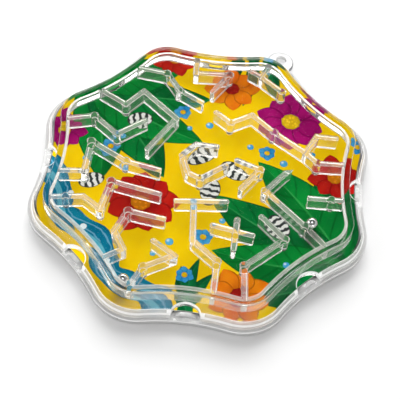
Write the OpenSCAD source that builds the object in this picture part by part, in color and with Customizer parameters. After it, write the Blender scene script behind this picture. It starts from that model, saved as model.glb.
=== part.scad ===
// Hand-held ball maze in a clear case with a wavy eight-lobed outline.
// Two clear mouldings, a printed card between them and two loose steel balls.
// Origin: centre of the case on the plane it rests on. +Z up, +Y towards the hang tab.
// All dimensions in millimetres.

/* [Case outline] */
// Distance from the centre to the tip of a lobe
case_r = 61; // [60.5:0.5:62]
// Radius of the rounded lobe tip
lobe_r = 16.6; // [16.2:0.1:17]
// Radius of the hollow side between two lobes
hollow_r = 70; // [66:1:74]

/* [Heights] */
// Thickness of the floor plate
plate_t = 2.4; // [2.2:0.1:2.6]
// Height of the top face of the card
card_top = 3.6; // [3.5:0.1:3.8]
// Thickness of the card
card_t = 0.4; // [0.3:0.1:0.6]
// Height of the top face of the flange
flange_top = 5.7; // [5.4:0.1:6]
// Height of the whole case
case_h = 10.6; // [10.4:0.1:11.5]
// Thickness of the window
window_t = 1.5; // [1.2:0.1:1.6]

/* [Walls] */
// Thickness of the skirt, measured level
skirt_t = 1.3; // [1.2:0.1:1.4]
// Distance from the outermost edge to the foot of the skirt
edge_foot = 0.7; // [0.6:0.1:0.8]
// How far the edge of the cover leans in from its foot to the flange
edge_lean = 1.7; // [1.5:0.1:1.8]
// Distance from the outermost edge to the outer face of the ring wall
ring_inset = 5.7; // [5.6:0.1:5.8]
// Thickness of the ring wall
ring_t = 1.8; // [1.6:0.1:1.9]
// Thickness of the maze walls
maze_t = 1.8; // [1.6:0.1:1.9]
// Diameter of the round bosses on the maze walls
boss_d = 2.8; // [2.4:0.1:3]

/* [Snap notches] */
// Radius of the half-round notch
notch_r = 5; // [4.8:0.1:5.1]
// Width of a snap tab at its foot
tab_foot = 7.6; // [7:0.1:8]
// Width of a snap tab at its top
tab_tip = 3.6; // [3:0.1:4]

/* [Hang tab] */
// Radius of the round end of the hang tab
hang_r = 5; // [4.8:0.1:5.2]
// Diameter of the hang hole
hang_hole_d = 3.8; // [3:0.1:4]
// Thickness of the hang tab
hang_t = 1.8; // [1.5:0.1:2]

/* [Balls] */
// Diameter of a steel ball
ball_d = 4.4; // [4:0.1:4.5]

/* [Hidden] */
$fn = 48;
fit = 0.1;
lobes = 8;
step = 360 / lobes;
floor_z = plate_t;
card_bot = card_top - card_t;
ceil_z = case_h - window_t;
maze_h = ceil_z - card_top;
ring_in = ring_inset + ring_t;
card_inset = 3.1;
rim_out = card_inset;
rim_in = card_inset + 1.2;
ball_z = card_top + ball_d / 2 + fit;
hang_y = case_r + 2.9;

// centre of a lobe arc, and of the arc that hollows the side beside it
lobe_c = case_r - lobe_r;
reach = lobe_r + hollow_r;
half_b = lobe_c * cos(step / 2);
hollow_c = half_b + sqrt(half_b * half_b - lobe_c * lobe_c + reach * reach);
// direction from the lobe centre to the hollow centre: the arcs meet on it
meet = atan2(hollow_c * sin(step / 2), hollow_c * cos(step / 2) - lobe_c);
side_r = hollow_c - hollow_r;

// outline moved inwards by d, as one ring of points
lobe_n = 12;
hollow_n = 8;
function spin2(p, a) = [p[0] * cos(a) - p[1] * sin(a), p[0] * sin(a) + p[1] * cos(a)];
function lobe_pts(d) = [for (i = [0 : lobe_n])
    let (a = -meet + 2 * meet * i / lobe_n) [lobe_c + (lobe_r - d) * cos(a), (lobe_r - d) * sin(a)]];
sweep_a = step / 2 - meet;
function hollow_pts(d) = [for (i = [1 : hollow_n - 1])
    let (a = step / 2 + 180 + sweep_a * (2 * i / hollow_n - 1))
    [hollow_c * cos(step / 2) + (hollow_r + d) * cos(a), hollow_c * sin(step / 2) + (hollow_r + d) * sin(a)]];
function outline(d) = [for (k = [0 : lobes - 1]) for (p = concat(lobe_pts(d), hollow_pts(d))) spin2(p, k * step)];

module slab(d, z0, z1) translate([0, 0, z0]) linear_extrude(z1 - z0) polygon(outline(d));
module band(d0, d1, z0, z1) difference() {
    slab(d0, z0, z1);
    slab(d1, z0 - 1, z1 + 1);
}
// the same between an outline moved in by d0 at height z0 and one moved in by d1 at height z1
module taper(d0, z0, d1, z1) {
    a = outline(d0);
    b = outline(d1);
    n = len(a);
    polyhedron(
        points = concat([for (p = a) [p[0], p[1], z0]], [for (p = b) [p[0], p[1], z1]]),
        faces = concat([[for (i = [0 : n - 1]) i]], [[for (i = [n - 1 : -1 : 0]) n + i]],
            [for (i = [0 : n - 1]) [i, n + i, (i + 1) % n]],
            [for (i = [0 : n - 1]) [(i + 1) % n, n + i, n + (i + 1) % n]]));
}
// leaning face of the cover's edge: how far it lies inside the outline at height z
function edge_at(z) = edge_foot + edge_lean * (z - floor_z) / (flange_top - floor_z);
module leaning(d, z0, z1) taper(edge_at(z0) + d, z0, edge_at(z1) + d, z1);
// all that lies outside the leaning face
module beyond(z0, z1) difference() {
    slab(-3, z0 - 1, z1 + 1);
    leaning(0, z0 - 1.5, z1 + 1.5);
}
module notches(r, z0, z1) for (k = [0 : lobes - 1]) rotate((k + 0.5) * step)
    translate([side_r, 0, z0]) cylinder(r = r, h = z1 - z0);

// outline of a run of wall along points p, with mitred corners and round ends
function unit(v) = v / norm(v);
function left(v) = [-v[1], v[0]];
function dir_at(p, i) = unit(p[min(i + 1, len(p) - 1)] - p[min(i, len(p) - 2)]);
function dir_in(p, i) = unit(p[max(i, 1)] - p[max(i - 1, 0)]);
function mitre(p, i) = let (m = unit(left(dir_in(p, i)) + left(dir_at(p, i)))) m / (m * left(dir_at(p, i)));
function cap(c, v, t) = let (a = atan2(v[1], v[0]))
    [for (i = [-2 : 2]) c + t / 2 * [cos(a - i * 30), sin(a - i * 30)]];
function run_outline(p, t) = let (n = len(p) - 1) concat(
    [for (i = [0 : n]) p[i] + mitre(p, i) * t / 2],
    cap(p[n], dir_at(p, n), t),
    [for (i = [n : -1 : 0]) p[i] - mitre(p, i) * t / 2],
    cap(p[0], -dir_at(p, 0), t));

// one stretch of maze: runs of wall, round bosses on them, cut off at the ring wall
module wall(runs, dots) color([0.96, 0.98, 1, 0.5]) intersection() {
    union() {
        for (p = runs) translate([0, 0, card_top]) linear_extrude(maze_h) polygon(run_outline(p, maze_t));
        for (c = dots) translate([c[0], c[1], card_top]) cylinder(d = boss_d, h = maze_h);
    }
    slab(ring_in, card_top - 1, ceil_z + 1);
}

// runs of the maze, laid out on a half-millimetre grid
run_01 = [[-50, 11.5], [-36.5, 10], [-34, 18.5], [-18, 13.5], [-20, -3]];
run_02 = [[-52.5, -7], [-43.5, 0], [-32.5, -3], [-27, 7]];
run_03 = [[-43, -27], [-34, -22], [-38.5, -10], [-24, -11.5], [-12.5, -9]];
run_04 = [[-39.5, -37.5], [-29, -31], [-21.5, -32.5], [-24, -21], [-7.5, -17.5]];
run_05 = [[-12, -49.5], [-7, -42], [-13, -37.5], [-13, -28.5], [-1.5, -25.5]];
run_06 = [[1.5, -54], [2, -44.5], [8.5, -36], [0, -34.5]];
run_07 = [[-1, -17], [13.5, -9]];
run_07_leg = [[4, -14.2], [11, -28], [21.5, -31], [27, -44.5]];
run_08 = [[0, 9.5], [-6.5, 7], [-8.5, 0.5], [-3.5, -5], [1.5, -5], [6.5, 4]];
run_09 = [[-43, 26.5], [-31, 30], [-23.5, 25.5], [-14, 24.5]];
run_10 = [[-26, 44.5], [-22, 35.5], [-11, 41], [-12.5, 31]];
run_11 = [[-5, 46.5], [-0.5, 46], [9, 43.5]];
run_11_leg = [[-0.5, 46], [-0.5, 54.5]];
run_12 = [[-7, 23], [-0.5, 21.5], [4.5, 28.5], [14.5, 25.5], [28, 23], [33.5, 21], [44, 26]];
run_12_leg = [[28, 23], [28.5, 31.5], [34.5, 34]];
run_13 = [[9, 8], [17.5, 8.5], [15.5, -1.5]];
run_14 = [[26, 12.5], [23, 1.5], [40.5, -4.5], [51.5, -9]];
run_15 = [[37.5, 6.5], [49.5, 12]];
run_16 = [[14, -19.5], [27, -16.5]];
run_16_leg = [[20, -13.5], [24, -24]];
run_17 = [[26.5, -8.5], [37, -12.5], [30, -28], [37, -41.5]];

// where the balls lie
ball_1_at = [-2.1, -50.5];
ball_2_at = [41.7, -0.6];

// ---- clear cover ----
module cover_window() color([0.93, 0.96, 0.98, 0.35]) slab(ring_inset, ceil_z, case_h);

module cover_ring_wall() color([0.9, 0.94, 0.97, 0.45]) band(ring_inset, ring_in, card_top, ceil_z);

// flat flange beside the ring wall; its edge leans in
module cover_flange() color([0.9, 0.94, 0.97, 0.45]) difference() {
    band(0, ring_inset, card_top, flange_top);
    notches(notch_r, card_top - 1, flange_top + 1);
    beyond(card_top, flange_top);
}

// leaning skirt from the flange down to the floor plate
module cover_skirt() color([0.9, 0.94, 0.97, 0.45]) difference() {
    slab(0, floor_z, card_top);
    notches(notch_r, floor_z - 1, card_top + 1);
    leaning(skirt_t, floor_z - 0.5, card_top + 0.5);
    beyond(floor_z, card_top);
}

// ---- maze walls of the cover ----
module maze_wall_01() wall([run_01], [[-36.5, 10]]);
module maze_wall_02() wall([run_02], [[-43.5, 0], [-32.5, -3]]);
module maze_wall_03() wall([run_03], [[-34, -22], [-38.5, -10], [-24, -11.5]]);
module maze_wall_04() wall([run_04], [[-34, -34], [-21.5, -32.5], [-24, -21]]);
module maze_wall_05() wall([run_05], [[-13, -28.5]]);
module maze_wall_06() wall([run_06], [[1.6, -52.2], [2, -44.5]]);
module maze_wall_07() wall([run_07, run_07_leg], [[21.5, -31]]);
module maze_wall_08() wall([run_08], [[1.5, -5]]);
module maze_wall_09() wall([run_09], [[-31, 30], [-23.5, 25.5]]);
module maze_wall_10() wall([run_10], [[-11, 41]]);
module maze_wall_11() wall([run_11, run_11_leg], [[9, 43.5]]);
module maze_wall_12() wall([run_12, run_12_leg], [[-0.5, 21.5], [14.5, 25.5], [33.5, 21]]);
module maze_wall_13() wall([run_13], [[17.5, 8.5]]);
module maze_wall_14() wall([run_14], [[23, 1.5], [40.5, -4.5]]);
module maze_wall_15() wall([run_15], [[44, 9.5]]);
module maze_wall_16() wall([run_16, run_16_leg], [[21.6, -17.7]]);
module maze_wall_17() wall([run_17], [[37, -12.5], [30, -28]]);

// ---- card ----
module printed_card() color([0.96, 0.77, 0.05]) slab(card_inset, card_bot, card_top);

// ---- clear base ----
module base_plate() color([0.9, 0.94, 0.97, 0.5]) slab(0, 0, floor_z);

// upstand that carries the edge of the card, open behind each notch
module base_rim() color([0.9, 0.94, 0.97, 0.5]) difference() {
    band(rim_out, rim_in, floor_z, card_bot);
    notches(notch_r, floor_z - 1, card_top + 1);
}

// inner rib that carries the card under the ring wall
module card_support() color([0.9, 0.94, 0.97, 0.5]) band(ring_inset + 0.2, ring_in - 0.2, floor_z, card_bot);

// one tapered tab in each notch
module snap_tabs() color([0.9, 0.94, 0.97, 0.5]) for (k = [0 : lobes - 1]) rotate((k + 0.5) * step)
    translate([side_r - 2.8, 0, floor_z]) rotate([90, 0, 90]) linear_extrude(1.5)
        polygon([[-tab_foot / 2, 0], [tab_foot / 2, 0], [tab_tip / 2, card_top - floor_z], [-tab_tip / 2, card_top - floor_z]]);

// thin round tab behind the lobe on +Y
module hang_tab() color([0.9, 0.94, 0.97, 0.5]) difference() {
    translate([0, case_r + 1.9, 0]) cylinder(r = hang_r, h = hang_t);
    slab(0, -1, hang_t + 1);
    translate([0, hang_y, -1]) cylinder(d = hang_hole_d, h = hang_t + 2);
}

// ---- balls ----
module ball(p) color([0.78, 0.79, 0.8]) translate([p[0], p[1], ball_z]) sphere(d = ball_d);
module ball_1() ball(ball_1_at);
module ball_2() ball(ball_2_at);

cover_window();
cover_ring_wall();
cover_flange();
cover_skirt();
maze_wall_01();
maze_wall_02();
maze_wall_03();
maze_wall_04();
maze_wall_05();
maze_wall_06();
maze_wall_07();
maze_wall_08();
maze_wall_09();
maze_wall_10();
maze_wall_11();
maze_wall_12();
maze_wall_13();
maze_wall_14();
maze_wall_15();
maze_wall_16();
maze_wall_17();
printed_card();
base_plate();
base_rim();
card_support();
snap_tabs();
hang_tab();
ball_1();
ball_2();
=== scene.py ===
import math

import bmesh
import bpy
from mathutils import Matrix, Vector, geometry


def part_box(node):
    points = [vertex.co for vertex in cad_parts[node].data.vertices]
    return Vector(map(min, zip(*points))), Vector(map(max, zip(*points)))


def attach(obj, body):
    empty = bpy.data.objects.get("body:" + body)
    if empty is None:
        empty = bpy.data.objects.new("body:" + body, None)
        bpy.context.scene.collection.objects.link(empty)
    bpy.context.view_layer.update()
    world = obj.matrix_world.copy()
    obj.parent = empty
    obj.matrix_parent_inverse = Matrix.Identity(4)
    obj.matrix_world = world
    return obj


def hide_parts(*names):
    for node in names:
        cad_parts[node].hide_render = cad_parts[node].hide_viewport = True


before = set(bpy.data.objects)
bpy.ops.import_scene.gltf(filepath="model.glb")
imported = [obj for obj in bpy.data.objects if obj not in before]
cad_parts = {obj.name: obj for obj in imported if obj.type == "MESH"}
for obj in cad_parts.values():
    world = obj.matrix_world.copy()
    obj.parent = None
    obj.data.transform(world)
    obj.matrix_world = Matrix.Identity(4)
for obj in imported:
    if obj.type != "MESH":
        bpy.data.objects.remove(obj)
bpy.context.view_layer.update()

MM = 0.001
scene = bpy.context.scene


# ---------------------------------------------------------------------------
# outline of the case, the same arcs as the frame: eight lobes, hollow sides
# ---------------------------------------------------------------------------
CASE_R, LOBE_R, HOLLOW_R = 61.0, 16.6, 70.0
STEP = math.radians(45)
LOBE_C = CASE_R - LOBE_R
REACH = LOBE_R + HOLLOW_R
HALF_B = LOBE_C * math.cos(STEP / 2)
HOLLOW_C = HALF_B + math.sqrt(HALF_B ** 2 - LOBE_C ** 2 + REACH ** 2)
MEET = math.atan2(HOLLOW_C * math.sin(STEP / 2), HOLLOW_C * math.cos(STEP / 2) - LOBE_C)
SIDE_R = HOLLOW_C - HOLLOW_R
SWEEP = STEP / 2 - MEET

PLATE_T, CARD_BOT, CARD_TOP = 2.4, 3.2, 3.6
FLANGE_TOP, CASE_H, CEIL = 5.7, 10.6, 9.1
RING_OUT, RING_IN = 5.7, 7.5
MAZE_T, BOSS_D = 1.8, 2.8
NOTCH_R = 5.0


def turn(p, a):
    c, s = math.cos(a), math.sin(a)
    return (p[0] * c - p[1] * s, p[0] * s + p[1] * c)


def outline(d, nl=20, nh=14):
    """The case outline moved inwards by d, as one ring of points, counter-clockwise."""
    one = []
    for i in range(nl + 1):
        a = -MEET + 2 * MEET * i / nl
        one.append((LOBE_C + (LOBE_R - d) * math.cos(a), (LOBE_R - d) * math.sin(a)))
    hx, hy = HOLLOW_C * math.cos(STEP / 2), HOLLOW_C * math.sin(STEP / 2)
    for i in range(1, nh):
        a = STEP / 2 + math.pi + SWEEP * (2 * i / nh - 1)
        one.append((hx + (HOLLOW_R + d) * math.cos(a), hy + (HOLLOW_R + d) * math.sin(a)))
    return [turn(p, k * STEP) for k in range(8) for p in one]


def inset(x, y):
    """How far a point lies inside the case outline."""
    a = math.atan2(y, x)
    b = a - STEP * round(a / STEP)
    r = math.hypot(x, y)
    px, py = r * math.cos(b), abs(r * math.sin(b))
    if px > LOBE_C - 4 and abs(math.atan2(py, px - LOBE_C)) < MEET:
        return LOBE_R - math.hypot(px - LOBE_C, py)
    hx, hy = HOLLOW_C * math.cos(STEP / 2), HOLLOW_C * math.sin(STEP / 2)
    return math.hypot(px - hx, py - hy) - HOLLOW_R


def arc(cd, cz, r, a0, a1, n):
    """Points of a rounded edge in a (inset, height) section."""
    return [(cd + r * math.cos(math.radians(a0 + (a1 - a0) * i / n)),
             cz + r * math.sin(math.radians(a0 + (a1 - a0) * i / n))) for i in range(n + 1)]


# ---------------------------------------------------------------------------
# mesh helpers; solids are made in millimetres and scaled to metres at the end
# ---------------------------------------------------------------------------
def new_object(name, verts, faces):
    me = bpy.data.meshes.new(name)
    me.from_pydata(verts, [], faces)
    me.validate()
    bm = bmesh.new()
    bm.from_mesh(me)
    bmesh.ops.recalc_face_normals(bm, faces=bm.faces)
    bm.to_mesh(me)
    bm.free()
    ob = bpy.data.objects.new(name, me)
    scene.collection.objects.link(ob)
    return ob


def loft(name, rings):
    """A closed solid through rings of equally many points, capped at both ends."""
    n = len(rings[0])
    verts = [p for r in rings for p in r]
    faces = [tuple(range(n)), tuple((len(rings) - 1) * n + i for i in reversed(range(n)))]
    for k in range(len(rings) - 1):
        for i in range(n):
            j = (i + 1) % n
            faces.append((k * n + i, k * n + j, (k + 1) * n + j, (k + 1) * n + i))
    return new_object(name, verts, faces)


def boolean(ob, other, how):
    m = ob.modifiers.new("cut", "BOOLEAN")
    m.operation = how
    m.object = other
    m.solver = "MANIFOLD"
    dg = bpy.context.evaluated_depsgraph_get()
    made = bpy.data.meshes.new_from_object(ob.evaluated_get(dg))
    ob.modifiers.clear()
    old = ob.data
    ob.data = made
    bpy.data.meshes.remove(old)
    bpy.data.objects.remove(other)


def disc_rings(cx, cy, levels, n):
    return [[(cx + r * math.cos(2 * math.pi * i / n), cy + r * math.sin(2 * math.pi * i / n), z)
             for i in range(n)] for r, z in levels]


def tidy(ob, sharp_deg):
    """Joins doubles, scales to metres, and gives rounded edges smooth normals beside flat faces."""
    bm = bmesh.new()
    bm.from_mesh(ob.data)
    bmesh.ops.remove_doubles(bm, verts=bm.verts, dist=2e-4)
    bmesh.ops.dissolve_degenerate(bm, edges=bm.edges, dist=1e-4)
    bmesh.ops.recalc_face_normals(bm, faces=bm.faces)
    bmesh.ops.scale(bm, vec=(MM, MM, MM), verts=bm.verts)
    for f in bm.faces:
        f.smooth = True
    bm.to_mesh(ob.data)
    open_edges = sum(1 for e in bm.edges if len(e.link_faces) != 2)
    print("piece", ob.name, "faces", len(bm.faces), "open edges", open_edges)
    bm.free()
    ob.data.set_sharp_from_angle(angle=math.radians(sharp_deg))
    w = ob.modifiers.new("normals", "WEIGHTED_NORMAL")
    w.mode = "FACE_AREA"
    w.weight = 80
    w.keep_sharp = True


# ---------------------------------------------------------------------------
# maze walls: runs of points with an end style at each end
#   r = round, f = flat with eased corners, w = ends against the ring wall, p = cut to a point
# ---------------------------------------------------------------------------
RUNS = [
    ([(-50, 11.5), (-36.5, 10), (-34, 18.5), (-18, 13.5), (-20, -3)], "wf"),
    ([(-52.5, -7), (-43.5, 0), (-32.5, -3), (-27, 7)], "wf"),
    ([(-43, -27), (-34, -22), (-38.5, -10), (-24, -11.5), (-12.5, -9)], "wf"),
    ([(-39.5, -37.5), (-29, -31), (-21.5, -32.5), (-24, -21), (-7.5, -17.5)], "wr"),
    ([(-12, -49.5), (-7, -42), (-13, -37.5), (-13, -28.5), (-1.5, -25.5)], "wf"),
    ([(1.5, -54), (2, -44.5), (8.5, -36), (0, -34.5)], "wr"),
    ([(-1, -17), (13.5, -9)], "fr"),
    ([(4, -14.2), (11, -28), (21.5, -31), (27, -44.5)], "rw"),
    ([(0, 9.5), (-6.5, 7), (-8.5, 0.5), (-3.5, -5), (1.5, -5), (6.5, 4)], "ff"),
    ([(-43, 26.5), (-31, 30), (-23.5, 25.5), (-14, 24.5)], "wf"),
    ([(-26, 44.5), (-22, 35.5), (-11, 41), (-12.5, 31)], "wf"),
    ([(-5, 46.5), (-0.5, 46), (9, 43.5)], "ff"),
    ([(-0.5, 46), (-0.5, 54.5)], "rw"),
    ([(-7, 23), (-0.5, 21.5), (4.5, 28.5), (14.5, 25.5), (28, 23), (33.5, 21), (44, 26)], "rw"),
    ([(28, 23), (28.5, 31.5), (34.5, 34)], "rf"),
    ([(9, 8), (17.5, 8.5), (15.5, -1.5)], "rf"),
    ([(26, 12.5), (23, 1.5), (40.5, -4.5), (51.5, -9)], "pw"),
    ([(37.5, 6.5), (49.5, 12)], "fw"),
    ([(14, -19.5), (27, -16.5)], "rr"),
    ([(20, -13.5), (24, -24)], "rr"),
    ([(26.5, -8.5), (37, -12.5), (30, -28), (37, -41.5)], "rw"),
]
BOSSES = [
    (-36.5, 10), (-43.5, 0), (-32.5, -3), (-34, -22), (-38.5, -10), (-24, -11.5), (-34, -34), (-21.5, -32.5),
    (-24, -21), (-13, -28.5), (1.6, -52.0), (2, -44.5), (21.5, -31), (1.5, -5), (-31, 30), (-23.5, 25.5),
    (-11, 41), (9, 43.5), (-0.5, 21.5), (14.5, 25.5), (33.5, 21), (17.5, 8.5), (23, 1.5), (40.5, -4.5),
    (44, 9.5), (21.6, -17.7), (37, -12.5), (30, -28),
]


def into_ring(a, b):
    """The point on the way from a to b where a wall ends against the ring wall."""
    lo, hi = 0.0, 1.0
    for _ in range(40):
        t = (lo + hi) / 2
        if inset(a[0] + (b[0] - a[0]) * t, a[1] + (b[1] - a[1]) * t) > 7.62:
            lo = t
        else:
            hi = t
    return (a[0] + (b[0] - a[0]) * lo, a[1] + (b[1] - a[1]) * lo)


def run_corners(pts, ends, t, ease):
    """Corners of a run of thickness t with the radius each is rounded to. ease is how far t has shrunk on one side."""
    p = [Vector(q) for q in pts]
    n = len(p) - 1
    dirs = [(p[i + 1] - p[i]).normalized() for i in range(n)]
    left = [Vector((-d.y, d.x)) for d in dirs]

    def side(s):
        out = []
        for i in range(1, n):
            m = (left[i - 1] + left[i]).normalized()
            m = m / m.dot(left[i])
            cross = dirs[i - 1].x * dirs[i].y - dirs[i - 1].y * dirs[i].x
            outer = (cross < 0) == (s > 0)
            out.append((p[i] + m * (s * t / 2), max(0.05, 0.5 - ease) if outer else 0.22 + ease))
        return out

    def end(c, d, style):
        lft = Vector((-d.y, d.x))
        if style == "p":
            return [(c + lft * t / 2 - d * 0.4, 0.15), (c - lft * t / 2 + d * (1.9 - ease * 1.5), 0.12)]
        ext = 0.0 if style == "w" else t / 2
        rad = {"r": t / 2 * 0.999, "f": max(0.08, 0.42 - ease), "w": max(0.3, 0.72 - ease)}[style]
        return [(c + lft * t / 2 + d * ext, rad), (c - lft * t / 2 + d * ext, rad)]

    return side(1) + end(p[n], dirs[-1], ends[1]) + side(-1)[::-1] + end(p[0], -dirs[0], ends[0])


def rounded(corners, seg=5):
    """The closed outline through corners, each rounded to its radius."""
    n = len(corners)
    out = []
    for i in range(n):
        b, r = corners[i]
        a, c = corners[i - 1][0], corners[(i + 1) % n][0]
        u, v = (a - b), (c - b)
        lu, lv = u.length, v.length
        u, v = u / lu, v / lv
        ang = math.acos(max(-1, min(1, u.dot(v))))
        reach = r / math.tan(ang / 2)
        room = 0.4995 * min(lu, lv)
        if reach > room:
            r, reach = r * room / reach, room
        bis = (u + v).normalized()
        centre = b + bis * (r / math.sin(ang / 2))
        s, e = b + u * reach - centre, b + v * reach - centre
        a0 = math.atan2(s.y, s.x)
        a1 = math.atan2(e.y, e.x)
        while a1 - a0 > math.pi:
            a1 -= 2 * math.pi
        while a1 - a0 < -math.pi:
            a1 += 2 * math.pi
        for k in range(seg + 1):
            q = a0 + (a1 - a0) * k / seg
            out.append((centre.x + r * math.cos(q), centre.y + r * math.sin(q)))
    return out


FOOT = 3.66
WALL_LEVELS = [(1.36, FOOT), (1.52, FOOT + 0.03), (1.66, FOOT + 0.10), (1.73, FOOT + 0.22), (1.86, 8.78),
               (1.90, 8.92), (2.00, 9.02), (2.20, 9.09), (2.34, 9.13), (2.34, 9.6)]


ring_ends = []   # where walls end against the ring wall, and which way they point there


def wall_solid(k):
    pts, ends = RUNS[k]
    pts = list(pts)
    if ends[0] == "w":
        pts[0] = into_ring(pts[1], pts[0])
    if ends[1] == "w":
        pts[-1] = into_ring(pts[-2], pts[-1])
    for i, j in ((0, 1), (-1, -2)):
        if ends[i] == "w":
            tip = Vector(pts[i])
            ring_ends.append((tip, (tip - Vector(pts[j])).normalized()))
    lift = 0.004 * (k % 7)
    return loft("wall", [[(x, y, z + lift * (1 if z > 8 else 0.5)) for x, y in
                          rounded(run_corners(pts, ends, t, (MAZE_T - t) / 2))] for t, z in WALL_LEVELS])


def boss_solid(k):
    x, y = BOSSES[k]
    lift = 0.003 * (k % 5)
    r = BOSS_D / 2
    levels = [(r - 0.22, 3.62), (r - 0.08, 3.67), (r, 3.80), (r + 0.04, 8.80 + lift), (r + 0.09, 8.95 + lift),
              (r + 0.2, 9.07 + lift), (r + 0.3, 9.15 + lift), (r + 0.3, 9.5)]
    return loft("boss", disc_rings(x, y, levels, 28))


# ---------------------------------------------------------------------------
# clear cover: window, ring wall, flange and skirt in one section, then walls, bosses and notches
# ---------------------------------------------------------------------------
def section_rings(profile):
    return [[(x, y, z) for x, y in outline(d)] for d, z in profile]


cover_profile = (
    arc(6.15, 10.15, 0.45, 90, 180, 5)
    + [(5.66, 8.0)]
    + arc(5.27, 6.05, 0.35, 0, -90, 4)
    + [(3.6, 5.70)]
    + arc(2.83, 5.00, 0.70, 90, 152.7, 6)
    + [(1.63, 4.20)]
    + arc(0.97, 2.60, 0.15, 152.7, 270, 4)
    + arc(1.93, 2.60, 0.15, 270, 332.7, 3)
    + arc(2.79, 3.38, 0.25, 152.7, 90, 3)
    + [(4.5, 3.63)]
    + arc(7.22, 3.87, 0.24, 270, 360, 4)
    + arc(8.76, 7.90, 1.20, 180, 90, 9)
)
cover = loft("clear_cover", section_rings(cover_profile))
for k in range(len(RUNS)):
    boolean(cover, wall_solid(k), "UNION")
for k in range(len(BOSSES)):
    boolean(cover, boss_solid(k), "UNION")
for k in range(8):
    a = (k + 0.5) * STEP
    cx, cy = turn((SIDE_R, 0), a)
    levels = [(NOTCH_R, 1.0), (NOTCH_R, 4.7), (NOTCH_R, 5.22), (NOTCH_R + 0.05, 5.42), (NOTCH_R + 0.17, 5.60), (NOTCH_R + 0.40, 5.74),
              (NOTCH_R + 0.40, 7.0)]
    boolean(cover, loft("notch", disc_rings(cx, cy, levels, 72)), "DIFFERENCE")
tidy(cover, 28)


# ---------------------------------------------------------------------------
# clear base: plate, rim, card support in one section, then notches, snap tabs and hang tab
# ---------------------------------------------------------------------------
base_profile = (
    arc(0.42, 0.40, 0.40, 270, 180, 5)
    + [(0.02, 0.88)]
    + arc(0.17, PLATE_T - 0.15, 0.15, 180, 90, 3)
    + [(0.95, PLATE_T)]
    + [(3.10, PLATE_T)]
    + arc(3.33, 2.99, 0.18, 180, 90, 3)
    + arc(4.07, 2.99, 0.18, 90, 0, 3)
    + [(4.30, PLATE_T), (5.85, PLATE_T)]
    + arc(6.10, 2.97, 0.20, 180, 90, 3)
    + arc(7.10, 2.97, 0.20, 90, 0, 3)
    + [(7.35, PLATE_T)]
)
base = loft("clear_base", section_rings(base_profile))
for k in range(8):
    a = (k + 0.5) * STEP
    cx, cy = turn((SIDE_R, 0), a)
    boolean(base, loft("gap", disc_rings(cx, cy, [(NOTCH_R, PLATE_T - 0.02), (NOTCH_R, 4.2)], 72)), "DIFFERENCE")
for k in range(8):
    a = (k + 0.5) * STEP
    # tapered tab: half widths and depths at several heights
    levels = [(3.80, 0.00, 1.50, PLATE_T - 0.2), (3.72, 0.00, 1.50, PLATE_T), (1.95, 0.06, 1.44, 3.40), (1.84, 0.12, 1.38, 3.52),
              (1.68, 0.26, 1.24, 3.585)]
    rings = []
    for w, d0, d1, z in levels:
        q = [(SIDE_R - 2.8 + d0, -w), (SIDE_R - 2.8 + d1, -w), (SIDE_R - 2.8 + d1, w), (SIDE_R - 2.8 + d0, w)]
        out = rounded([(Vector(c), 0.22) for c in q], 3)
        rings.append([(*turn(c, a), z) for c in out])
    boolean(base, loft("tab", rings), "UNION")
hang = loft("hang", disc_rings(0, 62.9, [(4.6, 0.06), (4.82, 0.14), (4.94, 0.30), (4.98, 0.6), (4.98, 1.3), (4.92, 1.55),
                                         (4.80, 1.68), (4.6, 1.74)], 64))
boolean(hang, loft("hole", disc_rings(0, 63.9, [(2.2, -0.5), (2.2, 0.04), (1.96, 0.2), (1.9, 0.4), (1.9, 1.45), (1.98, 1.62),
                                                (2.2, 1.78), (2.2, 2.5)], 48)), "DIFFERENCE")
# the tab only reaches a little way under the lobe
boolean(hang, loft("trim", section_rings([(0.9, -1.0), (0.9, 3.0)])), "DIFFERENCE")
boolean(base, hang, "UNION")
tidy(base, 28)


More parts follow.
